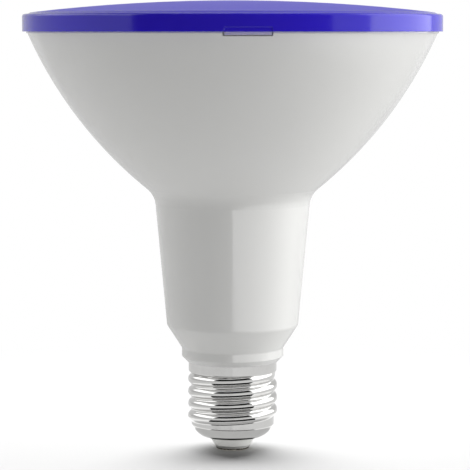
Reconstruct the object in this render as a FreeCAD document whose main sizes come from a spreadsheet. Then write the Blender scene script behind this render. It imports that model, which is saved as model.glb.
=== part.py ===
import FreeCAD, Part
import math
import os
import re
import Sketcher

# A PAR38 LED reflector lamp with an E27 screw cap.
# Millimetres, +Z up. The lamp stands on its screw cap: the origin is the middle of the
# centre contact's lower face, and the lamp's axis is Z. The front faces -Y.

document = FreeCAD.newDocument("reflector_lamp")

# Driving sizes
driving_sizes = {
    # Screw shell
    "thread_crest_radius": 13.1,
    "thread_depth": 1.0,
    "thread_pitch": 3.629,
    "thread_flat": 0.4,
    "thread_bevel": 0.45,
    "thread_bevel_drop": 0.15,
    "thread_land": 0.03,
    "thread_first_crest": 10.75,
    "thread_turns": 3.85,
    "thread_start_angle": 90.0,
    "thread_end_angle": 2.5,
    "thread_top": 23.2,
    "band_radius": 12.9,
    "shell_wall": 0.3,
    "shell_top": 26.0,
    "bowl_radius": 6.4,
    "bowl_centre_radius": 6.2,
    "bowl_centre_height": 9.8,
    "bowl_mouth_radius": 6.9,
    # Centre contact and its insulator
    "contact_radius": 4.8,
    "contact_thickness": 0.6,
    "contact_round": 0.35,
    "rivet_radius": 1.5,
    "rivet_head_radius": 2.4,
    "rivet_head_thickness": 0.5,
    "insulator_tip_radius": 4.95,
    "insulator_neck_radius": 6.65,
    "insulator_flange_radius": 9.4,
    "insulator_height": 5.6,
    "insulator_floor": 1.8,
    "insulator_wall": 1.5,
    "insulator_well_radius": 3.8,
    "seat_clearance": 0.05,
    # Housing
    "housing_wall": 2.0,
    "spigot_clearance": 0.25,
    "spigot_length": 14.0,
    "collar_foot_radius": 13.3,
    "collar_radius": 14.85,
    "collar_slant": 1.6,
    "collar_top": 30.0,
    "collar_round": 0.6,
    "shoulder_radius": 19.2,
    "shoulder_height": 36.8,
    "shoulder_round": 1.5,
    "neck_top_radius": 22.7,
    "neck_round": 6.5,
    "rim_radius": 59.0,
    "rim_height": 121.5,
    "rim_angle": 23.6,
    "bow_radius": 120.0,
    "lip_reach": 0.35,
    "lip_height": 0.5,
    "upstand_wall": 1.8,
    "rail_thickness": 1.2,
    "rail_drop": 10.4,
    "rail_grip": 1.6,
    "rail_clearance": 0.15,
    "stop_height": 1.5,
    # Cover
    "cover_overhang": 1.5,
    "cover_wall": 1.9,
    "cover_clearance": 0.3,
    "skirt_height": 4.2,
    "skirt_round": 0.8,
    "crease_width": 0.7,
    "crease_depth": 0.25,
    "dome_edge_width": 0.9,
    "dome_edge_rise": 0.45,
    "dome_rise": 3.45,
    "clip_count": 6,
    "front_angle": -90.0,
    "clip_angle": 7.4,
    "clip_reach": 0.9,
    "clip_drop": 0.7,
    "clip_height": 1.2,
    "clip_clearance": 0.2,
    "clip_side_angle": 0.5,
    "pry_offset_angle": 4.0,
    "pry_angle": 12.8,
    "pry_height": 1.1,
    "pry_side_angle": 0.4,
    "pry_tab_thickness": 0.6,
    "pry_recess_height": 1.2,
    "pry_recess_depth": 0.2,
    # Heat spreader cup and mounting plate
    "cup_wall": 1.2,
    "cup_clearance": 0.1,
    "cup_foot_rise": 3.1,
    "cup_head_drop": 9.5,
    "plate_drop": 17.5,
    "plate_thickness": 2.0,
    "plate_flange_height": 6.0,
    "plate_flange_wall": 1.5,
    "wire_hole_radius": 4.0,
    # Light source board
    "led_board_inset": 17.0,
    "led_board_thickness": 1.6,
    "led_length": 3.5,
    "led_width": 2.8,
    "led_thickness": 0.75,
    "led_well_radius": 1.15,
    "led_well_depth": 0.35,
    "led_ring_inset": 8.0,
    "led_inner_share": 0.5,
    "led_inner_count": 6,
    "led_outer_count": 12,
    "screw_count": 3,
    "screw_ring_share": 0.75,
    "screw_start_angle": 30.0,
    "screw_radius": 1.5,
    "screw_length": 6.0,
    "screw_head_radius": 2.8,
    "screw_head_height": 2.0,
    "screw_head_round": 1.1,
    "screw_slot_reach": 1.3,
    "screw_slot_width": 0.7,
    "screw_slot_depth": 1.1,
    "screw_clearance": 0.1,
    "connector_length": 6.0,
    "connector_width": 6.4,
    "connector_height": 2.8,
    "connector_pitch": 3.2,
    "connector_well": 1.5,
    # Driver board and what it carries
    "driver_half_width": 15.6,
    "driver_thickness": 1.6,
    "driver_bottom": 38.5,
    "driver_drop": 14.0,
    "driver_full_height": 51.5,
    "input_capacitor_radius": 5.0,
    "input_capacitor_length": 16.0,
    "input_capacitor_side": -6.5,
    "output_capacitor_radius": 4.0,
    "output_capacitor_length": 12.0,
    "output_capacitor_side": 6.5,
    "capacitor_rise": 44.5,
    "crimp_height": 2.0,
    "crimp_depth": 0.45,
    "crimp_half_width": 0.5,
    "can_round": 0.6,
    "choke_radius": 3.2,
    "choke_waist_radius": 2.6,
    "choke_length": 8.0,
    "choke_flange": 1.2,
    "choke_side": -9.0,
    "filter_rise": 11.5,
    "film_length": 10.0,
    "film_width": 5.0,
    "film_height": 9.0,
    "film_side": 2.0,
    "varistor_radius": 3.5,
    "varistor_thickness": 3.0,
    "varistor_side": 11.5,
    "fusible_radius": 1.6,
    "fusible_length": 8.0,
    "fusible_side": 5.0,
    "fusible_rise": 4.0,
    "transformer_rise": 26.5,
    "core_length": 16.0,
    "core_height": 14.0,
    "core_depth": 4.8,
    "core_back": 2.4,
    "core_leg": 2.2,
    "core_middle_leg": 4.0,
    "bobbin_wall": 0.6,
    "bobbin_clearance": 0.15,
    "bobbin_depth": 11.0,
    "winding_margin": 0.5,
    "winding_round": 1.2,
    "bridge_length": 4.7,
    "bridge_width": 3.9,
    "bridge_thickness": 1.5,
    "bridge_rise": 8.5,
    "chip_length": 4.9,
    "chip_width": 3.9,
    "chip_thickness": 1.4,
    "chip_rise": 21.5,
    "chip_leads": 4,
    "lead_pitch": 1.27,
    "lead_width": 0.4,
    "lead_reach": 1.0,
    "lead_thickness": 0.6,
    "diode_length": 4.3,
    "diode_width": 2.6,
    "diode_thickness": 2.1,
    "diode_rise": 35.5,
    "resistor_length": 2.0,
    "resistor_width": 1.25,
    "resistor_thickness": 0.5,
    "resistor_count": 6,
    "resistor_spacing": 3.0,
    "resistor_side": 8.0,
    "resistor_rise": 15.5,
    # Wires
    "wire_radius": 0.65,
    "wire_ease": 0.45,
    "mains_wire_side": 5.5,
    "mains_wire_bend_level": 22.0,
    "live_wire_foot_level": 15.0,
    "neutral_wire_side": 8.6,
    "neutral_wire_level": 10.2,
    "output_wire_side": 3.0,
    "output_wire_start_rise": 4.0,
    "output_wire_bend_drop": 3.0,
    "output_wire_rise_side": 1.0,
}

sizes = document.addObject("Spreadsheet::Sheet", "Sizes")
size_names = []


def enter_size(word, content):
    """Give a size its own line in the sheet."""
    size_names.append(word)
    row = len(size_names)
    sizes.set(f"A{row}", word)
    sizes.set(f"B{row}", content)
    sizes.setAlias(f"B{row}", word)


for word, number in driving_sizes.items():
    enter_size(word, str(number))
document.recompute()


def linked(text):
    """The expression with each driving size's name pointing into the sheet."""
    return re.sub(
        r"[a-z][a-z_]*",
        lambda word: "Sizes." + word.group() if word.group() in size_names else word.group(),
        text,
    )


def worth(text):
    """The number that an expression in driving sizes gives."""
    return float(sizes.evalExpression(linked(text)))


def bind(item, settings):
    """Tie properties of an object to expressions in driving sizes."""
    for name, text in settings.items():
        item.setExpression(name, linked(text))


# Places that several pieces share

root_radius = "(thread_crest_radius - thread_depth)"
spigot_radius = f"({root_radius} - shell_wall - spigot_clearance)"
spigot_bottom = "(shell_top - spigot_length)"
bow_centre_radius = "(rim_radius - bow_radius * cos(rim_angle))"
bow_centre_height = "(rim_height + bow_radius * sin(rim_angle))"
cover_radius = "(rim_radius + cover_overhang)"
skirt_bottom = "(rim_height + lip_height)"
skirt_inner_radius = f"({cover_radius} - cover_wall)"
cover_crown = f"({skirt_bottom} + skirt_height + skirt_round)"
dome_edge_radius = f"({cover_radius} - skirt_round - crease_width - dome_edge_width)"
dome_edge_height = f"({cover_crown} + dome_edge_rise)"
dome_top = f"({dome_edge_height} + dome_rise)"
dome_radius = f"(({dome_edge_radius}^2 + dome_rise^2) / (2 * dome_rise))"
cover_ceiling = (
    f"({dome_top} - {dome_radius}"
    f" + sqrt(({dome_radius} - cover_wall)^2 - {skirt_inner_radius}^2))"
)
upstand_radius = f"({skirt_inner_radius} - cover_clearance)"
upstand_top = f"({cover_ceiling} - cover_clearance)"
clip_bottom = f"({skirt_bottom} + clip_drop)"
clip_top = f"({clip_bottom} + clip_height)"
pry_centre_angle = "front_angle + pry_offset_angle"
pry_bottom = f"({skirt_bottom} - pry_height)"
led_board_bottom = "(plate_bottom + plate_thickness)"
led_board_top = f"({led_board_bottom} + led_board_thickness)"
driver_face = "(driver_thickness / 2)"
driver_top = "(driver_bottom + driver_height)"


def cone_radius(height, inset="0"):
    """The bowed cone's radius at a height, an inset inside its outer face."""
    rise = f"(({height}) - {bow_centre_height})"
    return f"({bow_centre_radius} + sqrt((bow_radius - ({inset}))^2 - {rise}^2))"


def cone_height(radius):
    """The height at which the bowed cone's outer face has a radius."""
    reach = f"(({radius}) - {bow_centre_radius})"
    return f"({bow_centre_height} - sqrt(bow_radius^2 - {reach}^2))"


def neck_radius(height):
    """The tapered neck's outer radius at a height."""
    taper = f"(neck_top_radius - shoulder_radius) / ({neck_top} - shoulder_height)"
    return f"(shoulder_radius + (({height}) - shoulder_height) * {taper})"


def bowl_height(radius, inset="0"):
    """The height of the screw shell's bowl at a radius, an inset inside its outer face."""
    reach = f"(({radius}) - bowl_centre_radius)"
    return f"(bowl_centre_height - sqrt((bowl_radius - ({inset}))^2 - {reach}^2))"


neck_top = cone_height("neck_top_radius")

# Sizes that follow from the driving ones. What the cone holds keeps its place under the rim, and
# the driver board fills the height that this leaves.
following_sizes = {
    "cup_bottom": f"{neck_top} + cup_foot_rise",
    "cup_top": "rim_height - cup_head_drop",
    "plate_bottom": "rim_height - plate_drop",
    "led_board_radius": "rim_radius - led_board_inset",
    "led_outer_ring": "led_board_radius - led_ring_inset",
    "led_inner_ring": "led_outer_ring * led_inner_share",
    "screw_ring": "led_outer_ring * screw_ring_share",
    "connector_offset": "(wire_hole_radius + led_inner_ring - led_width / 2) / 2",
    "rail_length": f"{neck_top} - rail_drop - driver_bottom",
    "driver_height": "plate_bottom - driver_drop - driver_bottom",
    "driver_stretch": "driver_height / driver_full_height",
    "part_shrink": "min(1; driver_stretch)",
    "resistor_pitch": "resistor_spacing * driver_stretch",
    "output_wire_start_level": "driver_bottom + driver_height + output_wire_start_rise",
    "output_wire_bend_level": "plate_bottom - output_wire_bend_drop",
}
for row_name in ("capacitor", "filter", "fusible", "transformer", "bridge", "chip", "diode", "resistor"):
    following_sizes[f"{row_name}_level"] = f"driver_bottom + {row_name}_rise * driver_stretch"
for word, formula in following_sizes.items():
    enter_size(word, "=" + formula)
document.recompute()

# A board shorter than its full height carries parts that take less of that height. A longer one
# only spreads them.
shrinking_sizes = [
    "input_capacitor_radius", "output_capacitor_radius", "choke_radius", "choke_waist_radius",
    "film_width", "varistor_radius", "fusible_radius", "core_height", "core_leg", "core_middle_leg",
    "bobbin_wall", "bobbin_clearance", "winding_margin",
]
for word in shrinking_sizes:
    sizes.set(sizes.getCellFromAlias(word), f"={driving_sizes[word]} * part_shrink")
document.recompute()


# Sketches and features

def make_body(name):
    """A part body under its own label."""
    body = document.addObject("PartDesign::Body", name)
    body.Label = name
    return body


def sketch_on(body, role, name, turn="0", lift="0"):
    """A sketch on one of the body's own planes, turned about Z or lifted off the plane."""
    plane = next(item for item in body.Origin.OriginFeatures if item.Role == role)
    sketch = body.newObject("Sketcher::SketchObject", name)
    sketch.AttachmentSupport = [(plane, "")]
    sketch.MapMode = "FlatFace"
    if turn != "0":
        upright = FreeCAD.Vector(0, 1, 0)
        sketch.AttachmentOffset = FreeCAD.Placement(
            FreeCAD.Vector(), FreeCAD.Rotation(upright, worth(turn))
        )
        bind(sketch, {"AttachmentOffset.Rotation.Angle": turn})
    if lift != "0":
        bind(sketch, {"AttachmentOffset.Base.z": lift})
    return sketch


def arc_between(start, end, radius):
    """The arc from start to end that turns left for a positive radius, right for a negative."""
    if radius < 0:
        start, end = end, start
    size = abs(radius)
    across = end - start
    middle = (start + end) * 0.5
    left = FreeCAD.Vector(-across.y, across.x, 0).normalize()
    centre = middle + left * math.sqrt(size**2 - (across.Length / 2) ** 2)
    first = math.atan2(start.y - centre.y, start.x - centre.x)
    last = math.atan2(end.y - centre.y, end.x - centre.x)
    if last < first:
        last += 2 * math.pi
    circle = Part.Circle(centre, FreeCAD.Vector(0, 0, 1), size)
    return Part.ArcOfCircle(circle, first, last)


def draw_outline(sketch, corners):
    """A closed outline. A corner is (x, y), or (x, y, radius) where an arc leaves it."""
    points = [FreeCAD.Vector(worth(corner[0]), worth(corner[1]), 0) for corner in corners]
    starts = []
    ends = []
    for number, corner in enumerate(corners):
        start = points[number]
        end = points[(number + 1) % len(points)]
        if len(corner) == 3:
            radius = worth(corner[2])
            edge = sketch.addGeometry(arc_between(start, end, radius), False)
            sketch_size = sketch.addConstraint(Sketcher.Constraint("Radius", edge, abs(radius)))
            sketch.setExpression(f"Constraints[{sketch_size}]", linked(f"abs({corner[2]})"))
            leaving = 1 if radius > 0 else 2
        else:
            edge = sketch.addGeometry(Part.LineSegment(start, end), False)
            leaving = 1
        starts.append((edge, leaving))
        ends.append((edge, 3 - leaving))
    for number, corner in enumerate(corners):
        sketch.addConstraint(
            Sketcher.Constraint("Coincident", *ends[number - 1], *starts[number])
        )
        for kind, axis, text in (("DistanceX", -2, corner[0]), ("DistanceY", -1, corner[1])):
            if text == "0":
                sketch.addConstraint(Sketcher.Constraint("PointOnObject", *starts[number], axis))
                continue
            place = sketch.addConstraint(
                Sketcher.Constraint(kind, -1, 1, *starts[number], worth(text))
            )
            sketch.setExpression(f"Constraints[{place}]", linked(text))


def draw_circle(sketch, x, y, radius):
    """A circle placed and sized by expressions."""
    centre = FreeCAD.Vector(worth(x), worth(y), 0)
    circle = Part.Circle(centre, FreeCAD.Vector(0, 0, 1), worth(radius))
    edge = sketch.addGeometry(circle, False)
    size = sketch.addConstraint(Sketcher.Constraint("Radius", edge, worth(radius)))
    sketch.setExpression(f"Constraints[{size}]", linked(radius))
    for kind, axis, text in (("DistanceX", -2, x), ("DistanceY", -1, y)):
        if text == "0":
            sketch.addConstraint(Sketcher.Constraint("PointOnObject", edge, 3, axis))
            continue
        place = sketch.addConstraint(Sketcher.Constraint(kind, -1, 1, edge, 3, worth(text)))
        sketch.setExpression(f"Constraints[{place}]", linked(text))


def turn_section(body, name, corners, kind="PartDesign::Revolution", turn="0", sweep="360"):
    """Revolve an outline of radius and height about Z, or cut it away with a groove."""
    sketch = sketch_on(body, "XZ_Plane", name + "_section", turn)
    draw_outline(sketch, corners)
    feature = body.newObject(kind, name)
    feature.Profile = sketch
    feature.ReferenceAxis = (sketch, ["V_Axis"])
    feature.Midplane = sweep != "360"
    bind(feature, {"Angle": sweep})
    document.recompute()
    return feature


def repeat_round(body, name, feature, count):
    """Copies of a feature spaced evenly about Z."""
    pattern = body.newObject("PartDesign::PolarPattern", name)
    pattern.Originals = [feature]
    pattern.Axis = (feature.Profile[0], ["V_Axis"])
    pattern.Angle = 360
    bind(pattern, {"Occurrences": count})
    body.Tip = pattern
    document.recompute()
    return pattern


def pad_outline(body, name, role, corners, length, lift="0", midplane=False):
    """Pad an outline off a plane of the body."""
    sketch = sketch_on(body, role, name + "_section", lift=lift)
    draw_outline(sketch, corners)
    pad = body.newObject("PartDesign::Pad", name)
    pad.Profile = sketch
    pad.Midplane = midplane
    bind(pad, {"Length": length})
    document.recompute()
    return pad


def rim_edges(shape, radius, height):
    """Names of the circular edges about Z with a radius and a height."""
    names = []
    for number, edge in enumerate(shape.Edges, start=1):
        if not isinstance(edge.Curve, Part.Circle):
            continue
        same_radius = abs(edge.Curve.Radius - worth(radius)) < 0.01
        same_height = abs(edge.Curve.Center.z - worth(height)) < 0.01
        if same_radius and same_height:
            names.append(f"Edge{number}")
    return names


def round_edges(body, name, base, places, radius):
    """Fillet the circular edges at the (radius, height) places."""
    names = [edge for place in places for edge in rim_edges(base.Shape, *place)]
    fillet = body.newObject("PartDesign::Fillet", name)
    fillet.Base = (base, names)
    bind(fillet, {"Radius": radius})
    document.recompute()
    return fillet


def add_box(name, low, high):
    """A block between two corners."""
    block = document.addObject("Part::Box", name)
    block.Label = name
    for axis, side, from_text, to_text in zip("xyz", ("Length", "Width", "Height"), low, high):
        bind(block, {side: f"({to_text}) - ({from_text})", f"Placement.Base.{axis}": from_text})
    return block


def add_cylinder(name, radius, length, base, direction):
    """A cylinder from a base point along +Z, -Y or +X."""
    cylinder = document.addObject("Part::Cylinder", name)
    cylinder.Label = name
    axis = {"up": (0, 0, 1), "front": (0, -1, 0), "right": (1, 0, 0)}[direction]
    turn = FreeCAD.Rotation(FreeCAD.Vector(0, 0, 1), FreeCAD.Vector(*axis))
    cylinder.Placement = FreeCAD.Placement(FreeCAD.Vector(), turn)
    bind(cylinder, {"Radius": radius, "Height": length})
    for letter, text in zip("xyz", base):
        bind(cylinder, {f"Placement.Base.{letter}": text})
    return cylinder


def cut(name, base, tool):
    """One solid less another."""
    result = document.addObject("Part::Cut", name)
    result.Label = name
    result.Base = base
    result.Tool = tool
    return result


def fuse(name, shapes):
    """Several solids joined into one."""
    result = document.addObject("Part::MultiFuse", name)
    result.Label = name
    result.Shapes = shapes
    return result


def group(name, shapes):
    """Like pieces kept as separate solids of one node."""
    result = document.addObject("Part::Compound", name)
    result.Label = name
    result.Links = shapes
    return result


# Screw shell
# Nickel-plated brass sheet drawn to a bowl, with the right-hand Edison thread rolled into
# both of its faces and a plain band above it that grips the housing's spigot.

def thread_helix(body, name, kind, shift, turn, turns):
    """A helical ridge, added to the outside or, a wall further in, cut from the inside."""
    crest = f"(thread_crest_radius - {shift})"
    root = f"({root_radius} - {shift} + thread_land)"
    base = f"({root_radius} - shell_wall / 2 - 1.5 * {shift})"
    flank_turn = f"atan(thread_depth / (thread_pitch / 2 - thread_flat))"
    inward = f"{shift} * tan({flank_turn} / 2)"
    half_flat = f"(thread_flat / 2 - {inward} / 2)"
    half_foot = f"((thread_pitch - thread_flat) / 2 - {inward})"
    level = f"(thread_first_crest + ({turn} + thread_start_angle - 270) / 360 * thread_pitch)"
    upper = [(crest, f"{level} + {half_flat}")]
    if shift == "0":
        shoulder = f"({half_flat} + thread_bevel)"
        upper.append((f"{crest} - thread_bevel_drop", f"{level} + {shoulder}"))
    upper.append((root, f"{level} + {half_foot}"))
    upper.append((base, f"{level} + {half_foot}"))
    lower = [(radius, height.replace(f"{level} + ", f"{level} - ", 1)) for radius, height in upper]
    sketch = sketch_on(body, "XZ_Plane", name + "_section", f"thread_start_angle + {turn}")
    draw_outline(sketch, lower[::-1] + upper)
    helix = body.newObject(kind, name)
    helix.Profile = sketch
    helix.ReferenceAxis = (sketch, ["V_Axis"])
    helix.Mode = "pitch-height-angle"
    helix.LeftHanded = False
    bind(helix, {"Pitch": "thread_pitch", "Height": f"thread_pitch * {turns}"})
    document.recompute()
    return helix


def make_screw_shell():
    body = make_body("screw_shell")
    band_step = f"(band_radius - {root_radius})"
    inner_root = f"({root_radius} - shell_wall)"
    inner_band = "(band_radius - shell_wall)"
    fold = "(shell_wall * tan(22.5))"
    turn_section(body, "drawn_shell", [
        ("bowl_mouth_radius", bowl_height("bowl_mouth_radius"), "bowl_radius"),
        (root_radius, bowl_height(root_radius)),
        (root_radius, f"thread_top - {band_step}"),
        ("band_radius", "thread_top"),
        ("band_radius", "shell_top"),
        (inner_band, "shell_top"),
        (inner_band, f"thread_top + {fold}"),
        (inner_root, f"thread_top - {band_step} + {fold}"),
        (inner_root, bowl_height(inner_root, "shell_wall"), "-(bowl_radius - shell_wall)"),
        ("bowl_mouth_radius", bowl_height("bowl_mouth_radius", "shell_wall")),
    ])
    thread_helix(body, "thread", "PartDesign::AdditiveHelix", "0", "0", "thread_turns")
    thread_helix(
        body, "thread_back", "PartDesign::SubtractiveHelix", "shell_wall",
        "thread_end_angle", "(thread_turns - thread_end_angle / 180)",
    )
    return body


# Insulator
# Moulded ring that keeps the centre contact apart from the shell. Its flange lies in the
# bowl and its tapered neck stands out through the bowl's mouth.

def make_insulator():
    body = make_body("shell_insulator")
    top = "(contact_thickness + insulator_height)"
    seat = "(shell_wall + seat_clearance)"
    hole = "(rivet_radius + seat_clearance)"
    floor = "(contact_thickness + insulator_floor)"
    turn_section(body, "moulding", [
        (hole, "contact_thickness"),
        ("insulator_tip_radius", "contact_thickness"),
        ("insulator_neck_radius", f"{bowl_height('bowl_mouth_radius')} - seat_clearance"),
        ("insulator_neck_radius", bowl_height("insulator_neck_radius", seat),
         f"bowl_radius - {seat}"),
        ("insulator_flange_radius", bowl_height("insulator_flange_radius", seat)),
        ("insulator_flange_radius", top),
        ("insulator_flange_radius - insulator_wall", top),
        ("insulator_well_radius", floor),
        (hole, floor),
    ])
    return body


# Centre contact
# Nickel-plated disc with a solid rivet shank, headed over on the insulator's floor.

def make_centre_contact():
    body = make_body("centre_contact")
    floor = "(contact_thickness + insulator_floor)"
    turn_section(body, "rivet", [
        ("0", "0"),
        ("contact_radius - contact_round", "0", "contact_round"),
        ("contact_radius", "contact_round"),
        ("contact_radius", "contact_thickness"),
        ("rivet_radius", "contact_thickness"),
        ("rivet_radius", floor),
        ("rivet_head_radius", floor),
        ("rivet_head_radius", f"{floor} + rivet_head_thickness"),
        ("0", f"{floor} + rivet_head_thickness"),
    ])
    return body


# Reflector housing
# One moulding with an even wall: spigot, collar, tapered neck and the bowed cone, with a
# lip and an upstand at the rim that the cover clips to, and rails for the driver board.

def shell_out(body, base, flat_heights):
    """Hollow the housing to its wall, open at the flat faces at the given heights."""
    names = []
    for number, face in enumerate(base.Shape.Faces, start=1):
        box = face.BoundBox
        for height in flat_heights:
            if box.ZLength < 0.001 and abs(box.ZMin - worth(height)) < 0.001:
                names.append(f"Face{number}")
    hollow = body.newObject("PartDesign::Thickness", "even_wall")
    hollow.Base = (base, names)
    hollow.Join = "Intersection"
    hollow.Reversed = True
    bind(hollow, {"Value": "housing_wall"})
    document.recompute()
    return hollow


def add_board_rails(body):
    """Two ribs each side that hold the driver board's edges, and a stop under each edge."""
    rail_foot = "driver_bottom"
    rail_head = "(driver_bottom + rail_length)"
    grip = "(driver_half_width - rail_grip)"
    half_slot = f"({driver_face} + rail_clearance)"
    for side, mirror in (("right", "1"), ("left", "-1")):
        rib = [
            (f"{mirror} * {grip}", rail_foot),
            (f"{mirror} * ({neck_radius(rail_foot)} - housing_wall / 2)", rail_foot),
            (f"{mirror} * ({neck_radius(rail_head)} - housing_wall / 2)", rail_head),
            (f"{mirror} * {grip}", rail_head),
        ]
        for face, direction in (("front", "1"), ("back", "-1")):
            middle = f"{direction} * ({half_slot} + rail_thickness / 2)"
            pad_outline(
                body, f"{side}_{face}_rail", "XZ_Plane", rib, "rail_thickness", middle, True
            )
        stop_foot = "(driver_bottom - stop_height)"
        stop = [
            (f"{mirror} * {grip}", stop_foot),
            (f"{mirror} * ({neck_radius(stop_foot)} - housing_wall / 2)", stop_foot),
            (f"{mirror} * ({neck_radius(rail_foot)} - housing_wall / 2)", rail_foot),
            (f"{mirror} * {grip}", rail_foot),
        ]
        width = f"2 * ({half_slot} + rail_thickness)"
        pad_outline(body, f"{side}_stop", "XZ_Plane", stop, width, midplane=True)


def make_housing():
    body = make_body("reflector_housing")
    solid = turn_section(body, "outer_form", [
        ("0", spigot_bottom),
        (spigot_radius, spigot_bottom),
        (spigot_radius, "shell_top"),
        ("collar_foot_radius", "shell_top"),
        ("collar_radius", "shell_top + collar_slant"),
        ("collar_radius", "collar_top"),
        ("shoulder_radius", "shoulder_height"),
        ("neck_top_radius", neck_top, "bow_radius"),
        ("rim_radius", "rim_height"),
        ("0", "rim_height"),
    ])
    waist = round_edges(body, "waist", solid, [("neck_top_radius", neck_top)], "neck_round")
    hollow = shell_out(body, waist, [spigot_bottom, "rim_height"])
    edge = [("shoulder_radius", "shoulder_height")]
    shoulder = round_edges(body, "shoulder", hollow, edge, "shoulder_round")
    round_edges(body, "collar_edge", shoulder, [("collar_radius", "collar_top")], "collar_round")
    upstand_inner = f"({upstand_radius} - upstand_wall)"
    turn_section(body, "rim", [
        (upstand_inner, "rim_height"),
        ("rim_radius + lip_reach", "rim_height"),
        ("rim_radius + lip_reach", skirt_bottom),
        (upstand_radius, skirt_bottom),
        (upstand_radius, upstand_top),
        (upstand_inner, upstand_top),
    ])
    window = turn_section(body, "clip_window", [
        (f"{upstand_inner} - housing_wall", f"{clip_bottom} - clip_clearance"),
        (f"{upstand_radius} + cover_clearance", f"{clip_bottom} - clip_clearance"),
        (f"{upstand_radius} + cover_clearance", f"{clip_top} + clip_clearance"),
        (f"{upstand_inner} - housing_wall", f"{clip_top} + clip_clearance"),
    ], "PartDesign::Groove", "front_angle", "clip_angle + 2 * clip_side_angle")
    repeat_round(body, "clip_windows", window, "clip_count")
    turn_section(body, "pry_notch", [
        (upstand_radius, pry_bottom),
        ("rim_radius + 2 * lip_reach", pry_bottom),
        ("rim_radius + 2 * lip_reach", skirt_bottom),
        (upstand_radius, skirt_bottom),
    ], "PartDesign::Groove", pry_centre_angle, "pry_angle")
    add_board_rails(body)
    return body


# Cover
# Moulded in deep blue polycarbonate: a low dome, a crease, and a skirt over the housing's
# upstand, with snap ribs inside the skirt and a tab at the pry notch.

def make_cover():
    body = make_body("front_cover")
    crease_foot = f"({cover_radius} - skirt_round - crease_width / 2)"
    turn_section(body, "shell", [
        (skirt_inner_radius, skirt_bottom),
        (cover_radius, skirt_bottom),
        (cover_radius, f"{cover_crown} - skirt_round", "skirt_round"),
        (f"{cover_radius} - skirt_round", cover_crown),
        (crease_foot, f"{cover_crown} - crease_depth"),
        (f"{cover_radius} - skirt_round - crease_width", cover_crown),
        (dome_edge_radius, dome_edge_height, dome_radius),
        ("0", dome_top),
        ("0", f"{dome_top} - cover_wall", f"-({dome_radius} - cover_wall)"),
        (skirt_inner_radius, cover_ceiling),
    ])
    rib = turn_section(body, "snap_rib", [
        (f"{skirt_inner_radius} + cover_wall / 2", clip_bottom),
        (skirt_inner_radius, clip_bottom),
        (f"{skirt_inner_radius} - clip_reach", f"{clip_bottom} + clip_height / 2"),
        (f"{skirt_inner_radius} - clip_reach", clip_top),
        (f"{skirt_inner_radius} + cover_wall / 2", clip_top),
    ], "PartDesign::Revolution", "front_angle", "clip_angle")
    repeat_round(body, "snap_ribs", rib, "clip_count")
    turn_section(body, "pry_recess", [
        (f"{cover_radius} - pry_recess_depth", f"{skirt_bottom} - cover_wall"),
        (f"{cover_radius} + cover_wall", f"{skirt_bottom} - cover_wall"),
        (f"{cover_radius} + cover_wall", f"{skirt_bottom} + pry_recess_height"),
        (f"{cover_radius} - pry_recess_depth", f"{skirt_bottom} + pry_recess_height"),
    ], "PartDesign::Groove", pry_centre_angle, "pry_angle - 2 * pry_side_angle")
    turn_section(body, "pry_tab", [
        (skirt_inner_radius, f"{pry_bottom} + clip_clearance"),
        (f"{skirt_inner_radius} + pry_tab_thickness", f"{pry_bottom} + clip_clearance"),
        (f"{skirt_inner_radius} + pry_tab_thickness", f"{skirt_bottom} + cover_wall / 2"),
        (skirt_inner_radius, f"{skirt_bottom} + cover_wall / 2"),
    ], "PartDesign::Revolution", pry_centre_angle, "pry_angle - 2 * pry_side_angle")
    return body


# Heat spreader cup and mounting plate
# A drawn aluminium cup lines the cone, and a pressed plate is wedged in it by its flange.

def make_heat_cup():
    body = make_body("heat_spreader_cup")
    outside = "(housing_wall + cup_clearance)"
    inside = f"({outside} + cup_wall)"
    turn_section(body, "drawn_cup", [
        (cone_radius("cup_bottom", outside), "cup_bottom", f"bow_radius - {outside}"),
        (cone_radius("cup_top", outside), "cup_top"),
        (cone_radius("cup_top", inside), "cup_top", f"-(bow_radius - {inside})"),
        (cone_radius("cup_bottom", inside), "cup_bottom"),
    ])
    return body


def drill_screw_holes(body, face_height, radius):
    """Through holes for the board's screws."""
    sketch = sketch_on(body, "XY_Plane", "screw_hole_section", lift=face_height)
    draw_circle(sketch, "screw_ring * cos(screw_start_angle)",
                "screw_ring * sin(screw_start_angle)", radius)
    hole = body.newObject("PartDesign::Pocket", "screw_hole")
    hole.Profile = sketch
    hole.Type = "ThroughAll"
    document.recompute()
    pattern = body.newObject("PartDesign::PolarPattern", "screw_holes")
    pattern.Originals = [hole]
    pattern.Axis = (sketch, ["N_Axis"])
    pattern.Angle = 360
    bind(pattern, {"Occurrences": "screw_count"})
    body.Tip = pattern
    document.recompute()


def make_mounting_plate():
    body = make_body("mounting_plate")
    outside = "(housing_wall + cup_clearance + cup_wall + cup_clearance)"
    inside = f"({outside} + plate_flange_wall)"
    flange_top = "(plate_bottom + plate_flange_height)"
    turn_section(body, "pressed_plate", [
        ("wire_hole_radius", "plate_bottom"),
        (cone_radius("plate_bottom", outside), "plate_bottom", f"bow_radius - {outside}"),
        (cone_radius(flange_top, outside), flange_top),
        (cone_radius(flange_top, inside), flange_top, f"-(bow_radius - {inside})"),
        (cone_radius(led_board_bottom, inside), led_board_bottom),
        ("wire_hole_radius", led_board_bottom),
    ])
    drill_screw_holes(body, led_board_bottom, "screw_radius + seat_clearance")
    return body


# Light source board with its packages, screws and connector

def make_led_board():
    body = make_body("led_board")
    turn_section(body, "disc", [
        ("wire_hole_radius", led_board_bottom),
        ("led_board_radius", led_board_bottom),
        ("led_board_radius", led_board_top),
        ("wire_hole_radius", led_board_top),
    ])
    drill_screw_holes(body, led_board_top, "screw_radius + screw_clearance")
    return body


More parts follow.
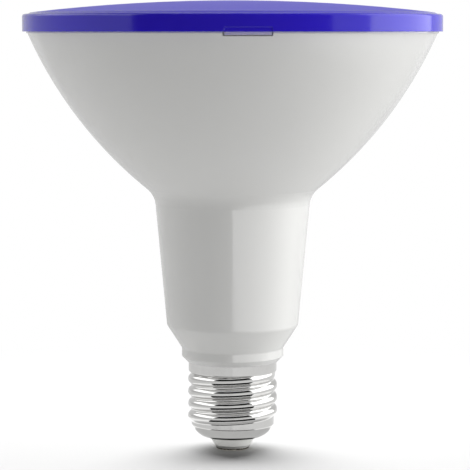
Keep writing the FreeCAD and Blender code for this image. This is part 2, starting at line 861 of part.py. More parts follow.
def make_led_package(name, ring, angle):
    """A white moulded package with a shallow well over its chip, set square to its ring."""
    block = add_box(name + "_block", ("-led_width / 2", "-led_length / 2", "0"),
                    ("led_width / 2", "led_length / 2", "led_thickness"))
    well = document.addObject("Part::Cone", name + "_well")
    bind(well, {
        "Radius1": "led_well_radius - led_well_depth / 2",
        "Radius2": "led_well_radius",
        "Height": "led_well_depth",
        "Placement.Base.z": "led_thickness - led_well_depth",
    })
    package = cut(name, block, well)
    upright = FreeCAD.Vector(0, 0, 1)
    package.Placement = FreeCAD.Placement(FreeCAD.Vector(), FreeCAD.Rotation(upright, worth(angle)))
    bind(package, {
        "Placement.Rotation.Angle": angle,
        "Placement.Base.x": f"{ring} * cos({angle})",
        "Placement.Base.y": f"{ring} * sin({angle})",
        "Placement.Base.z": led_board_top,
    })
    return package


def make_led_packages():
    packages = []
    for ring, count in (("led_inner_ring", "led_inner_count"), ("led_outer_ring", "led_outer_count")):
        for place in range(round(worth(count))):
            name = f"led_package_{len(packages) + 1:02d}"
            packages.append(make_led_package(name, ring, f"{place} * 360 / {count}"))
    return packages


def make_board_screws():
    """Round-head screws through the board into the plate, one group of separate solids."""
    screws = []
    crown = f"({led_board_top} + screw_head_height)"
    shank_end = f"({led_board_top} - screw_length)"
    for place in range(round(worth("screw_count"))):
        body = make_body(f"board_screw_{place + 1}")
        turn_section(body, "screw_form", [
            ("0", shank_end),
            ("screw_radius / 2", shank_end),
            ("screw_radius", f"{shank_end} + screw_radius / 2"),
            ("screw_radius", led_board_top),
            ("screw_head_radius", led_board_top),
            ("screw_head_radius", f"{crown} - screw_head_round", "screw_head_round"),
            ("screw_head_radius - screw_head_round", crown),
            ("0", crown),
        ])
        for number, across in enumerate((("screw_slot_reach", "screw_slot_width / 2"),
                                         ("screw_slot_width / 2", "screw_slot_reach"))):
            sketch = sketch_on(body, "XY_Plane", f"recess_{number}", lift=crown)
            x, y = across
            draw_outline(sketch, [(f"-{x}", f"-{y}"), (x, f"-{y}"), (x, y), (f"-{x}", y)])
            recess = body.newObject("PartDesign::Pocket", f"cross_{number}")
            recess.Profile = sketch
            bind(recess, {"Length": "screw_slot_depth"})
            document.recompute()
        angle = f"(screw_start_angle + {place} * 360 / screw_count)"
        bind(body, {
            "Placement.Base.x": f"screw_ring * cos({angle})",
            "Placement.Base.y": f"screw_ring * sin({angle})",
        })
        screws.append(body)
    return group("board_screws", screws)


def make_connector():
    low_x = "connector_offset - connector_length / 2"
    block = add_box("connector_block", (low_x, "-connector_width / 2", led_board_top), (
        "connector_offset + connector_length / 2", "connector_width / 2",
        f"{led_board_top} + connector_height",
    ))
    level = f"{led_board_top} + connector_height / 2"
    wells = [
        add_cylinder(
            f"connector_well_{number}", "wire_radius + rail_clearance", "connector_well",
            (low_x, f"{side} * connector_pitch / 2", level), "right",
        )
        for number, side in enumerate(("1", "-1"))
    ]
    return cut("led_connector", block, fuse("connector_wells", wells))


# Driver board and what it carries

def make_driver_board():
    return add_box("driver_board", ("-driver_half_width", f"-{driver_face}", "driver_bottom"),
                   ("driver_half_width", driver_face, driver_top))


def make_standing_part(name, corners, side, level):
    """A turned part that stands off the driver board's front face."""
    body = make_body(name)
    turn_section(body, "turned_form", corners)
    up = FreeCAD.Vector(0, 0, 1)
    forward = FreeCAD.Vector(0, -1, 0)
    body.Placement = FreeCAD.Placement(FreeCAD.Vector(), FreeCAD.Rotation(up, forward))
    bind(body, {
        "Placement.Base.x": side,
        "Placement.Base.y": f"-{driver_face}",
        "Placement.Base.z": level,
    })
    return body


def make_capacitor(name):
    """An electrolytic capacitor: a drawn can with a crimp over its bung."""
    radius = f"{name}_radius"
    length = f"{name}_length"
    return make_standing_part(name, [
        ("0", "0"),
        (f"{radius} - crimp_depth", "0"),
        (radius, "crimp_depth"),
        (radius, "crimp_height - crimp_half_width"),
        (f"{radius} - crimp_depth", "crimp_height"),
        (radius, "crimp_height + crimp_half_width"),
        (radius, f"{length} - can_round", "can_round"),
        (f"{radius} - can_round", length),
        ("0", length),
    ], f"{name}_side", "capacitor_level")


def make_choke():
    """A drum choke: a wound waist between two ferrite flanges."""
    return make_standing_part("filter_choke", [
        ("0", "0"),
        ("choke_radius", "0"),
        ("choke_radius", "choke_flange"),
        ("choke_waist_radius", "choke_flange"),
        ("choke_waist_radius", "choke_length - choke_flange"),
        ("choke_radius", "choke_length - choke_flange"),
        ("choke_radius", "choke_length"),
        ("0", "choke_length"),
    ], "choke_side", "filter_level")


def make_film_capacitor():
    return add_box(
        "film_capacitor",
        ("film_side - film_length / 2", f"-{driver_face} - film_height",
         "filter_level - film_width / 2"),
        ("film_side + film_length / 2", f"-{driver_face}", "filter_level + film_width / 2"),
    )


def make_varistor():
    middle = f"-({driver_face} + varistor_radius)"
    place = ("varistor_side - varistor_thickness / 2", middle, "filter_level")
    return add_cylinder("surge_varistor", "varistor_radius", "varistor_thickness", place, "right")


def make_fusible_resistor():
    middle = f"-({driver_face} + fusible_radius)"
    place = ("fusible_side - fusible_length / 2", middle, "fusible_level")
    return add_cylinder("fusible_resistor", "fusible_radius", "fusible_length", place, "right")


transformer_middle = f"({driver_face} + bobbin_depth / 2)"


def make_core_half(name, mirror):
    """One E-shaped ferrite half, its three legs meeting the other half's."""
    back = "-core_length / 2"
    window = "(core_back - core_length / 2)"
    outer = "core_height / 2"
    leg = "(core_height / 2 - core_leg)"
    middle = "core_middle_leg / 2"
    upper = [("0", middle), (window, middle), (window, leg), ("0", leg), ("0", outer), (back, outer)]
    lower = [(x, f"-{y}") for x, y in reversed(upper)]
    corners = [(f"{mirror} * {x}" if x != "0" else x, f"transformer_level + {y}")
               for x, y in upper + lower]
    body = make_body(name)
    pad_outline(body, "ferrite", "XZ_Plane", corners, "core_depth", transformer_middle, True)
    return body


def transformer_box(name, half_x, half_y, half_z):
    """A block centred on the transformer."""
    return add_box(
        name,
        (f"-{half_x}", f"-{transformer_middle} - {half_y}", f"transformer_level - {half_z}"),
        (half_x, f"{half_y} - {transformer_middle}", f"transformer_level + {half_z}"),
    )


def make_transformer():
    """Ferrite halves round a flanged bobbin, and the winding between its flanges."""
    half_length = "(core_length / 2 - core_back - bobbin_clearance)"
    inner_length = f"({half_length} - bobbin_wall)"
    bore_y = "(core_depth / 2 + bobbin_clearance)"
    bore_z = "(core_middle_leg / 2 + bobbin_clearance)"
    tube_y = f"({bore_y} + bobbin_wall)"
    tube_z = f"({bore_z} + bobbin_wall)"
    flange_y = "(bobbin_depth / 2)"
    flange_z = "(core_height / 2 - core_leg - bobbin_clearance)"
    halves = [make_core_half("transformer_core_left", "1"), make_core_half("transformer_core_right", "-1")]
    reel = transformer_box("bobbin_reel", half_length, flange_y, flange_z)
    waist = cut(
        "bobbin_waist",
        transformer_box("bobbin_waist_block", inner_length, f"({flange_y} + bobbin_wall)",
                        f"({flange_z} + bobbin_wall)"),
        transformer_box("bobbin_tube", f"({half_length} + bobbin_wall)", tube_y, tube_z),
    )
    bore = transformer_box("bobbin_bore", f"({half_length} + bobbin_wall)", bore_y, bore_z)
    bobbin = cut("transformer_bobbin", cut("bobbin_body", reel, waist), bore)
    coil = transformer_box("winding_block", inner_length, f"({flange_y} - winding_margin)",
                           f"({flange_z} - winding_margin)")
    hollow = transformer_box("winding_hollow", f"({half_length} + bobbin_wall)", tube_y, tube_z)
    document.recompute()
    rounded = document.addObject("Part::Fillet", "winding_rounded")
    rounded.Base = coil
    along = [
        number for number, edge in enumerate(coil.Shape.Edges, start=1)
        if edge.BoundBox.YLength < 0.001 and edge.BoundBox.ZLength < 0.001
    ]
    radius = worth("winding_round")
    rounded.Edges = [(number, radius, radius) for number in along]
    winding = cut("transformer_winding", rounded, hollow)
    return halves + [bobbin, winding]


def make_flat_part(name, side, level, length, width, thickness):
    """A surface-mounted block on the driver board's back face."""
    return add_box(
        name,
        (f"{side} - {length} / 2", driver_face, f"{level} - {width} / 2"),
        (f"{side} + {length} / 2", f"{driver_face} + {thickness}", f"{level} + {width} / 2"),
    )


def make_driver_chip():
    """The controller's package with a row of leads along each side."""
    block = make_flat_part("chip_block", "0", "chip_level", "chip_width", "chip_length",
                           "chip_thickness")
    parts = [block]
    for lead in range(round(worth("chip_leads"))):
        level = f"(chip_level + ({lead} - (chip_leads - 1) / 2) * lead_pitch)"
        parts.append(make_flat_part(f"chip_lead_{lead}", "0", level,
                                    "(chip_width + 2 * lead_reach)", "lead_width",
                                    "lead_thickness"))
    return fuse("driver_chip", parts)


def make_chip_resistors():
    blocks = []
    for number in range(round(worth("resistor_count"))):
        level = f"(resistor_level + {number} * resistor_pitch)"
        blocks.append(make_flat_part(f"chip_resistor_{number}", "resistor_side", level,
                                     "resistor_length", "resistor_width", "resistor_thickness"))
    return group("chip_resistors", blocks)


# Wires
# Insulated stranded wire with soldered ends, its straight runs joined by tangent arcs.

def route_wire(name, corners):
    """A round wire along a route whose bends are as easy as its runs allow."""
    points = [FreeCAD.Vector(*(worth(text) for text in corner)) for corner in corners]
    edges = []
    at = points[0]
    for before, corner, after in zip(points, points[1:], points[2:]):
        arriving = (corner - before).normalize()
        leaving = (after - corner).normalize()
        shorter = min((corner - before).Length, (after - corner).Length)
        half_turn = arriving.getAngle(leaving) / 2
        trim = worth("wire_ease") * shorter
        start = corner - arriving * trim
        end = corner + leaving * trim
        radius = trim / math.tan(half_turn)
        inward = (leaving - arriving).normalize()
        middle = corner + inward * (radius / math.cos(half_turn) - radius)
        edges.append(Part.LineSegment(at, start).toShape())
        edges.append(Part.Arc(start, middle, end).toShape())
        print(f"{name}: bend radius {radius:.1f}")
        at = end
    edges.append(Part.LineSegment(at, points[-1]).toShape())
    path = Part.Wire(edges)
    start_direction = (points[1] - points[0]).normalize()
    section = Part.Wire(Part.makeCircle(worth("wire_radius"), points[0], start_direction))
    feature = document.addObject("Part::Feature", name)
    feature.Label = name
    feature.Shape = path.makePipeShell([section], True, True)
    feature.Placement = FreeCAD.Placement()
    expected = math.pi * worth("wire_radius") ** 2 * path.Length
    if abs(feature.Shape.Volume - expected) > 0.02 * expected:
        raise ValueError(f"{name}: volume {feature.Shape.Volume:.2f}, expected {expected:.2f}")
    return feature


def make_wires():
    contact_top = "contact_thickness + insulator_floor + rivet_head_thickness"
    live = route_wire("live_wire", [
        ("mains_wire_side", "0", "driver_bottom"),
        ("mains_wire_side", "0", "mains_wire_bend_level"),
        ("0", "0", "live_wire_foot_level"),
        ("0", "0", contact_top),
    ])
    neutral = route_wire("neutral_wire", [
        ("-mains_wire_side", "0", "driver_bottom"),
        ("-mains_wire_side", "0", "mains_wire_bend_level"),
        ("-neutral_wire_side", "0", "neutral_wire_level"),
        (f"-{spigot_radius}", "0", "neutral_wire_level"),
    ])
    well_end = "connector_offset - connector_length / 2 + connector_well"
    level = f"{led_board_top} + connector_height / 2"
    wires = [live, neutral]
    for name, mirror in (("output_wire_positive", "1"), ("output_wire_negative", "-1")):
        across = f"{mirror} * connector_pitch / 2"
        wires.append(route_wire(name, [
            (f"{mirror} * output_wire_side", "0", driver_top),
            (f"{mirror} * output_wire_side", "0", "output_wire_start_level"),
            ("output_wire_rise_side", across, "output_wire_bend_level"),
            ("output_wire_rise_side", across, level),
            (well_end, across, level),
        ]))
    return wires


# The pieces, from the cap up

pieces = [
    make_centre_contact(),
    make_insulator(),
    make_screw_shell(),
    make_housing(),
    make_heat_cup(),
    make_mounting_plate(),
    make_led_board(),
    *make_led_packages(),
    make_board_screws(),
    make_connector(),
    make_driver_board(),
    make_capacitor("input_capacitor"),
    make_capacitor("output_capacitor"),
    make_choke(),
    make_film_capacitor(),
    make_varistor(),
    make_fusible_resistor(),
    *make_transformer(),
    make_flat_part("bridge_rectifier", "0", "bridge_level", "bridge_length", "bridge_width",
                   "bridge_thickness"),
    make_driver_chip(),
    make_flat_part("output_diode", "0", "diode_level", "diode_length", "diode_width",
                   "diode_thickness"),
    make_chip_resistors(),
    *make_wires(),
    make_cover(),
]
document.recompute()

for item in document.Objects:
    if "Invalid" in item.State or "Error" in item.State:
        raise ValueError(f"{item.Label} failed: {item.State}")
for piece in pieces:
    if piece.Shape.isNull() or not piece.Shape.isValid():
        raise ValueError(f"{piece.Label} has no valid shape")

os.makedirs("parts", exist_ok=True)
for piece in pieces:
    piece.Shape.exportStep(f"parts/{piece.Label}.step")
    print(f"{piece.Label}: {len(piece.Shape.Solids)} solid, {piece.Shape.Volume:.1f} mm3")
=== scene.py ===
from math import asin, cos, pi, radians, sin, sqrt, tan, tau

import bpy
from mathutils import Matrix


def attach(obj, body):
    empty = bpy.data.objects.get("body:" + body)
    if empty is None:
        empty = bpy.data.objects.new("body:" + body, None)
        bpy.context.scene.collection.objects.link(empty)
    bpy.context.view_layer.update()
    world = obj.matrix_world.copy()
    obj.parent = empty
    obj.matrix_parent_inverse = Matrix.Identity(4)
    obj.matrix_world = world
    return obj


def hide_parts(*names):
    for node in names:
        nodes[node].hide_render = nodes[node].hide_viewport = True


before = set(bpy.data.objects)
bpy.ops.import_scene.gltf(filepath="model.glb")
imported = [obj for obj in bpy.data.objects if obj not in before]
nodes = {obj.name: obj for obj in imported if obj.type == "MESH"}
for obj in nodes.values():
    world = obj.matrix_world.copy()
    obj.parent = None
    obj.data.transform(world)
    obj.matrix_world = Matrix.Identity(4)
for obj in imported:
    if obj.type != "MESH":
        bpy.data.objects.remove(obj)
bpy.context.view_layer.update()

mm = 0.001


# Reflector housing: one moulding of white PBT, the stiff polyester used for lamp bodies. It
# comes out of a finely spark-eroded mould, so it has a satin skin that still holds a soft
# reflection, and hardly any colour of its own.
def linear(code):
    """Linear colour of an sRGB hex value."""
    parts = [int(code[at:at + 2], 16) / 255 for at in (1, 3, 5)]
    lit = [p / 12.92 if p <= 0.04045 else ((p + 0.055) / 1.055) ** 2.4 for p in parts]
    return (*lit, 1.0)


def node(tree, kind, settings=None, links=None):
    """Adds a node, gives it its settings by name or socket number, and links its sockets."""
    made = tree.nodes.new(kind)
    for key, value in (settings or {}).items():
        if isinstance(key, str) and hasattr(made, key):
            setattr(made, key, value)
        else:
            made.inputs[key].default_value = value
    for key, source in (links or {}).items():
        tree.links.new(source, made.inputs[key])
    return made


def start_material(name):
    """A new material, its emptied node tree, and the socket of the object's own coordinates."""
    made = bpy.data.materials.new(name)
    made.use_nodes = True
    tree = made.node_tree
    tree.nodes.clear()
    place = node(tree, "ShaderNodeTexCoord")
    return made, tree, place.outputs["Object"]


def finish(
    name, pale, deep, rough, grain, relief,
    metallic=0.0, cloud=12 * mm, edge=0.15 * mm, **sockets,
):
    """A material whose colour drifts from pale to deep in clouds, with a skin of fine grain.

    rough is the lowest and highest roughness. grain is the size of the skin's grain and relief
    its depth, cloud is the size of the clouds and edge is how far sharp edges are broken, all
    in metres. The other words are sockets of the shader that are the same all over."""
    made, tree, place = start_material(name)
    clouds = node(
        tree, "ShaderNodeTexNoise", {"Scale": 1 / cloud, "Detail": 3.0}, {"Vector": place},
    )
    skin = node(
        tree, "ShaderNodeTexNoise", {"Scale": 1 / grain, "Detail": 2.0}, {"Vector": place},
    )
    colour = node(
        tree, "ShaderNodeMix",
        {"data_type": "RGBA", 6: linear(pale), 7: linear(deep)},
        {0: clouds.outputs["Fac"]},
    )
    gloss = node(
        tree, "ShaderNodeMapRange",
        {"From Min": 0.3, "From Max": 0.7, "To Min": rough[0], "To Max": rough[1]},
        {"Value": skin.outputs["Fac"]},
    )
    broken = node(tree, "ShaderNodeBevel", {"samples": 4, "Radius": edge})
    bump = node(
        tree, "ShaderNodeBump", {"Strength": 1.0, "Distance": relief},
        {"Height": skin.outputs["Fac"], "Normal": broken.outputs["Normal"]},
    )
    shader = node(
        tree, "ShaderNodeBsdfPrincipled", {"Metallic": metallic, **sockets},
        {
            "Base Color": colour.outputs[2],
            "Roughness": gloss.outputs["Result"],
            "Normal": bump.outputs["Normal"],
        },
    )
    node(tree, "ShaderNodeOutputMaterial", None, {"Surface": shader.outputs["BSDF"]})
    return made


def dress(name, material):
    """Gives a node of the frame its material."""
    for place in nodes[name].material_slots:
        place.material = material


# PBT has an IOR of 1.51. The real mould grain is about 0.05 mm, too fine to show, so it is
# drawn at 0.5 mm and kept very shallow.
white_pbt = finish(
    "satin moulded white PBT", "#F0F0EE", "#EBEBE8",
    rough=(0.34, 0.42), grain=0.5 * mm, relief=0.004 * mm,
    cloud=45 * mm, edge=0.5 * mm, **{"IOR": 1.51, "Coat Weight": 1.0, "Coat Roughness": 0.09},
)
dress("reflector_housing", white_pbt)


# Screw shell: brass sheet, 0.3 mm thick, drawn to a bowl at its foot and rolled with the round
# Edison thread, then plated with bright nickel. The rolls leave faint rings along the thread,
# and the plating mirrors what is round it, a little dulled where it was handled.
shell_wall = 0.3 * mm
crest_radius = 13.1 * mm
root_radius = 12.1 * mm
root_round = 0.6 * mm
pitch = 3.629 * mm
turns = 3.85
band_radius = 12.9 * mm
band_foot = 23.2 * mm
shell_top = 26.0 * mm
bowl_radius = 6.4 * mm
bowl_centre = (6.2 * mm, 9.8 * mm)
mouth_radius = 6.9 * mm

# The thread starts at the back, and its first crest passes the front at this height. It rises
# out of the plain sheet over a fifth of a turn, and sinks back over its last quarter turn.
first_crest = 10.75 * mm
front = radians(270)
start_angle = radians(90)
start_height = first_crest - (front - start_angle) / tau * pitch
rising_share = 0.2
sinking_share = 0.25

# Root and crest are arcs that meet at a common tangent, half a pitch apart and one depth high.
half_pitch = pitch / 2
depth = crest_radius - root_radius
both_rounds = (half_pitch ** 2 + depth ** 2) / (2 * depth)
crest_round = both_rounds - root_round
crest_share = half_pitch * crest_round / both_rounds

# The mesh has this many points round the shell and rows up the bowl, and its rows up the thread
# are this far apart, wider on the hidden inner face.
around = 160
bowl_steps = 30
outer_spacing = 0.11 * mm
inner_spacing = 0.22 * mm


def ease(value):
    """Goes smoothly from 0 to 1 as value does."""
    held = min(max(value, 0.0), 1.0)
    return held * held * (3 - 2 * held)


def thread_radius(angle, height):
    """Radius of the round thread where a ray from the axis at that angle meets its surface."""
    turned = ((angle - start_angle) % tau) / tau
    along = (height - start_height) / pitch - turned
    nearest = round(along)
    off = abs(along - nearest) * pitch
    if off < crest_share:
        rise = depth - crest_round + sqrt(crest_round ** 2 - off ** 2)
    else:
        rise = root_round - sqrt(root_round ** 2 - (half_pitch - off) ** 2)
    place = nearest + turned
    return root_radius + rise * ease(place / rising_share) * ease((turns - place) / sinking_share)


def plain_radius(height):
    """Radius of the plain sheet above the bowl, which steps out from the root to the band."""
    return min(max(root_radius, band_radius - (band_foot - height)), band_radius)


def bowl_rows(inset):
    """Radius and height of each row of the bowl's arc, from its mouth up to the thread's root."""
    reach = bowl_radius - inset
    first = asin((mouth_radius - bowl_centre[0]) / reach)
    last = asin((root_radius - inset - bowl_centre[0]) / reach)
    for step in range(bowl_steps + 1):
        turn = first + (last - first) * step / bowl_steps
        yield bowl_centre[0] + reach * sin(turn), bowl_centre[1] - reach * cos(turn)


def shell_rings(inset, spacing):
    """Rings of points of one face of the sheet, from the mouth of the bowl up to its top edge."""
    angles = [tau * at / around for at in range(around)]
    *bowl, thread_foot = bowl_rows(inset)
    foot = thread_foot[1]
    rings = [[(radius, angle, height) for angle in angles] for radius, height in bowl]
    count = round((shell_top - foot) / spacing)
    for at in range(count + 1):
        height = foot + (shell_top - foot) * at / count
        sheet = plain_radius(height)
        rings.append([
            (max(sheet, thread_radius(angle, height)) - inset, angle, height) for angle in angles
        ])
    return rings


def mesh_of_rings(name, rings):
    """A closed mesh through rings of points given by radius, angle and height."""
    points = [(r * cos(a), r * sin(a), z) for ring in rings for r, a, z in ring]
    faces = []
    for row in range(len(rings)):
        below = row * around
        above = (row + 1) % len(rings) * around
        for at in range(around):
            beside = (at + 1) % around
            faces.append((below + at, below + beside, above + beside, above + at))
    mesh = bpy.data.meshes.new(name)
    mesh.from_pydata(points, [], faces)
    mesh.update()
    return mesh


outer_rings = shell_rings(0.0, outer_spacing)
inner_rings = shell_rings(shell_wall, inner_spacing)
shell_mesh = mesh_of_rings("threaded_screw_shell", outer_rings + inner_rings[::-1])
shell_mesh.polygons.foreach_set("use_smooth", [True] * len(shell_mesh.polygons))
shell_mesh.set_sharp_from_angle(angle=radians(50))
screw_shell = bpy.data.objects.new("threaded_screw_shell", shell_mesh)
bpy.context.scene.collection.objects.link(screw_shell)

# Bright nickel mirrors the room, with a faint warm tone. Marks of the thread rolls run round it,
# about 0.2 mm apart, and each fades out after some 6 mm. Smudges of 4 mm dull it in places.
nickel, tree, place = start_material("bright nickel on rolled brass")
rolled = node(tree, "ShaderNodeMapping", {"Scale": (1.0, 1.0, 30.0)}, {"Vector": place})
roll_marks = node(
    tree, "ShaderNodeTexNoise", {"Scale": 1 / (6 * mm), "Detail": 3.0},
    {"Vector": rolled.outputs[0]},
)
smudge = node(tree, "ShaderNodeTexNoise", {"Scale": 1 / (4 * mm), "Detail": 4.0}, {"Vector": place})
tone = node(
    tree, "ShaderNodeMix",
    {"data_type": "RGBA", 6: linear("#DDDDDC"), 7: linear("#D0CFCD")},
    {0: smudge.outputs["Fac"]},
)
dull = node(
    tree, "ShaderNodeMapRange",
    {"From Min": 0.35, "From Max": 0.75, "To Min": 0.07, "To Max": 0.17},
    {"Value": smudge.outputs["Fac"]},
)
ridges = node(
    tree, "ShaderNodeBump", {"Strength": 1.0, "Distance": 0.004 * mm},
    {"Height": roll_marks.outputs["Fac"]},
)
shader = node(
    tree, "ShaderNodeBsdfPrincipled", {"Metallic": 1.0},
    {
        "Base Color": tone.outputs[2],
        "Roughness": dull.outputs["Result"],
        "Normal": ridges.outputs["Normal"],
    },
)
node(tree, "ShaderNodeOutputMaterial", None, {"Surface": shader.outputs["BSDF"]})
screw_shell.data.materials.append(nickel)
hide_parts("screw_shell")
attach(screw_shell, "root")


# Insulator: a pressed ring of pale grey ceramic-filled moulding that the shell is crimped on.
# It is dense and even, with a dull skin that is a shade darker in places.
dress("shell_insulator", finish(
    "pressed grey insulator", "#E6E6E3", "#DCDCD8",
    rough=(0.42, 0.55), grain=0.35 * mm, relief=0.006 * mm, cloud=2 * mm, **{"IOR": 1.5},
))


# Centre contact: a stamped disc and rivet, nickel plated like the shell, flattened and rubbed
# a little where the socket's spring bears on it.
dress("centre_contact", finish(
    "nickel plated stamped contact", "#CFCBC2", "#B9B3A6",
    rough=(0.18, 0.34), grain=0.6 * mm, relief=0.006 * mm, metallic=1.0, cloud=1.5 * mm,
))


# Heat spreader: a cup drawn from aluminium sheet that lines the cone, and the pressed plate
# that is wedged in it. Drawing leaves a silky grey metal that is a little cloudy.
drawn_aluminium = finish(
    "drawn aluminium", "#DADBDC", "#C8C9CA",
    rough=(0.28, 0.42), grain=1.2 * mm, relief=0.01 * mm, metallic=1.0, cloud=14 * mm,
)
pressed_aluminium = finish(
    "pressed aluminium", "#D9DADB", "#CBCCCE",
    rough=(0.30, 0.45), grain=0.8 * mm, relief=0.01 * mm, metallic=1.0, cloud=9 * mm,
)
dress("heat_spreader_cup", drawn_aluminium)
dress("mounting_plate", pressed_aluminium)


# Light source board: aluminium cored, under a white solder mask, with 18 light source packages
# in two rings, three screws and a two-pole connector. The mask is a satin lacquer, and each
# package is a yellow phosphor resin in its cup.
dress("led_board", finish(
    "white solder mask", "#F2F2F0", "#E9E9E6",
    rough=(0.32, 0.42), grain=0.4 * mm, relief=0.004 * mm, cloud=10 * mm, **{"IOR": 1.55},
))
phosphor = finish(
    "yellow phosphor resin", "#EFDF9A", "#E6CF78",
    rough=(0.22, 0.34), grain=0.3 * mm, relief=0.01 * mm, cloud=1.0 * mm, **{"IOR": 1.5},
)
for name in nodes:
    if name.startswith("led_package_"):
        dress(name, phosphor)
dress("board_screws", finish(
    "bright zinc plated steel", "#CDD0D3", "#BCC0C6",
    rough=(0.20, 0.34), grain=0.4 * mm, relief=0.006 * mm, metallic=1.0, cloud=1.2 * mm,
))
dress("led_connector", finish(
    "white moulded nylon", "#EFEDE6", "#E7E4DB",
    rough=(0.36, 0.48), grain=0.3 * mm, relief=0.005 * mm, cloud=3 * mm, **{"IOR": 1.53},
))


# Driver board: glass cloth in green epoxy, 1.6 mm thick. The weave of the cloth shows faintly
# through the lacquer, a thread about every 0.3 mm each way. The wave texture makes a wave in
# 0.3 of its unit.
wave_unit = 1.0 * mm
board, tree, place = start_material("glass cloth in green epoxy")
cloth = []
for turn in (0.0, radians(90)):
    laid = node(tree, "ShaderNodeMapping", {"Rotation": (0.0, turn, 0.0)}, {"Vector": place})
    cloth.append(node(
        tree, "ShaderNodeTexWave", {"Scale": 1 / wave_unit, "Distortion": 1.0},
        {"Vector": laid.outputs[0]},
    ))
weave = node(
    tree, "ShaderNodeMath", {"operation": "MULTIPLY"},
    {0: cloth[0].outputs["Fac"], 1: cloth[1].outputs["Fac"]},
)
green = node(
    tree, "ShaderNodeMix",
    {"data_type": "RGBA", 6: linear("#2B6B3A"), 7: linear("#3A7F48")},
    {0: weave.outputs[0]},
)
sheen = node(
    tree, "ShaderNodeMapRange", {"To Min": 0.28, "To Max": 0.42}, {"Value": weave.outputs[0]},
)
woven = node(
    tree, "ShaderNodeBump", {"Strength": 1.0, "Distance": 0.01 * mm}, {"Height": weave.outputs[0]},
)
shader = node(
    tree, "ShaderNodeBsdfPrincipled", {"IOR": 1.55},
    {
        "Base Color": green.outputs[2],
        "Roughness": sheen.outputs["Result"],
        "Normal": woven.outputs["Normal"],
    },
)
node(tree, "ShaderNodeOutputMaterial", None, {"Surface": shader.outputs["BSDF"]})
dress("driver_board", board)


# Parts soldered to the driver board. Sleeves and cases are glossy, ferrite is a dull fired
# ceramic with a fine pitted skin, and moulded epoxy packages are matt black.
plain = {"IOR": 1.5}
capacitor_sleeve = finish(
    "shrunk PVC sleeve", "#23242C", "#1B1C23",
    rough=(0.18, 0.28), grain=0.6 * mm, relief=0.01 * mm, **plain,
)
ferrite = finish(
    "fired ferrite", "#3A3A3D", "#2C2C2F",
    rough=(0.55, 0.72), grain=0.3 * mm, relief=0.02 * mm, cloud=2 * mm, **plain,
)
black_epoxy = finish(
    "moulded black epoxy", "#262627", "#1E1E1F",
    rough=(0.48, 0.60), grain=0.2 * mm, relief=0.008 * mm, cloud=2 * mm, **plain,
)
board_finishes = {
    "input_capacitor": capacitor_sleeve,
    "output_capacitor": capacitor_sleeve,
    "filter_choke": ferrite,
    "transformer_core_left": ferrite,
    "transformer_core_right": ferrite,
    "bridge_rectifier": black_epoxy,
    "driver_chip": black_epoxy,
    "output_diode": black_epoxy,
    "film_capacitor": finish(
        "yellow film case", "#E0B43C", "#D4A42E",
        rough=(0.22, 0.34), grain=0.6 * mm, relief=0.01 * mm, **plain,
    ),
    "surge_varistor": finish(
        "dipped blue epoxy", "#2B5FA8", "#224E90",
        rough=(0.20, 0.32), grain=0.9 * mm, relief=0.02 * mm, **plain,
    ),
    "fusible_resistor": finish(
        "grey flameproof lacquer", "#9DA09B", "#8C8F8A",
        rough=(0.35, 0.50), grain=0.4 * mm, relief=0.02 * mm, **plain,
    ),
    "transformer_bobbin": finish(
        "moulded black phenolic", "#2B2A29", "#222120",
        rough=(0.40, 0.52), grain=0.3 * mm, relief=0.01 * mm, **plain,
    ),
    "transformer_winding": finish(
        "yellow polyester tape", "#E4C24A", "#D9B43B",
        rough=(0.16, 0.26), grain=1.0 * mm, relief=0.02 * mm, **plain,
    ),
    "chip_resistors": finish(
        "glazed resistor", "#2A2A2B", "#1D1D1E",
        rough=(0.12, 0.24), grain=0.3 * mm, relief=0.006 * mm, **plain,
    ),
}
for name, material in board_finishes.items():
    dress(name, material)


# Wires: stranded copper in soft PVC, brown to the centre contact, blue to the shell, red and
# black up to the light source board. Extruded PVC is smooth with a dull waxy sheen.
wire_colours = {
    "live_wire": ("brown", "#6B4226", "#5C371E"),
    "neutral_wire": ("light blue", "#5B9BD0", "#4C8BC2"),
    "output_wire_positive": ("red", "#B8261F", "#A31F19"),
    "output_wire_negative": ("black", "#232323", "#1A1A1A"),
}
for name, (colour, pale, deep) in wire_colours.items():
    dress(name, finish(
        f"{colour} PVC insulation", pale, deep,
        rough=(0.38, 0.50), grain=0.8 * mm, relief=0.01 * mm, cloud=5 * mm, **{"IOR": 1.53},
    ))


# Front cover: polycarbonate tinted a deep blue violet and clipped over the rim. Its band is
# polished and mirrors the room, and its low dome is finely frosted, so that it spreads the
# light. Light goes a little way into it, and polish leaves only slow ripples and fine rubs.
# The pry tab under the band is painted a pale lilac: painted light that stands in for the white
# housing glowing through the thin tab.
tab_top = 122.0 * mm
tab_painted_light = 0.94
frosted_radius = 58.1 * mm
frosted_roughness = 0.42
polished_roughness = 0.10
cover, tree, place = start_material("blue violet polycarbonate")
ripple = node(
    tree, "ShaderNodeTexNoise", {"Scale": 1 / (25 * mm), "Detail": 1.0}, {"Vector": place},
)
hairs = node(
    tree, "ShaderNodeTexNoise", {"Scale": 1 / (0.8 * mm), "Detail": 3.0}, {"Vector": place},
)
flat = node(tree, "ShaderNodeVectorMath", {"operation": "MULTIPLY", 1: (1.0, 1.0, 0.0)}, {0: place})
out = node(tree, "ShaderNodeVectorMath", {"operation": "LENGTH"}, {0: flat.outputs[0]})
band = node(
    tree, "ShaderNodeMapRange",
    {"From Min": frosted_radius - 0.3 * mm, "From Max": frosted_radius},
    {"Value": out.outputs["Value"]},
)
tint = node(
    tree, "ShaderNodeMix",
    {"data_type": "RGBA", 6: linear("#3A28DE"), 7: linear("#3422D2")},
    {0: ripple.outputs["Fac"]},
)
heights = node(tree, "ShaderNodeSeparateXYZ", None, {"Vector": place})
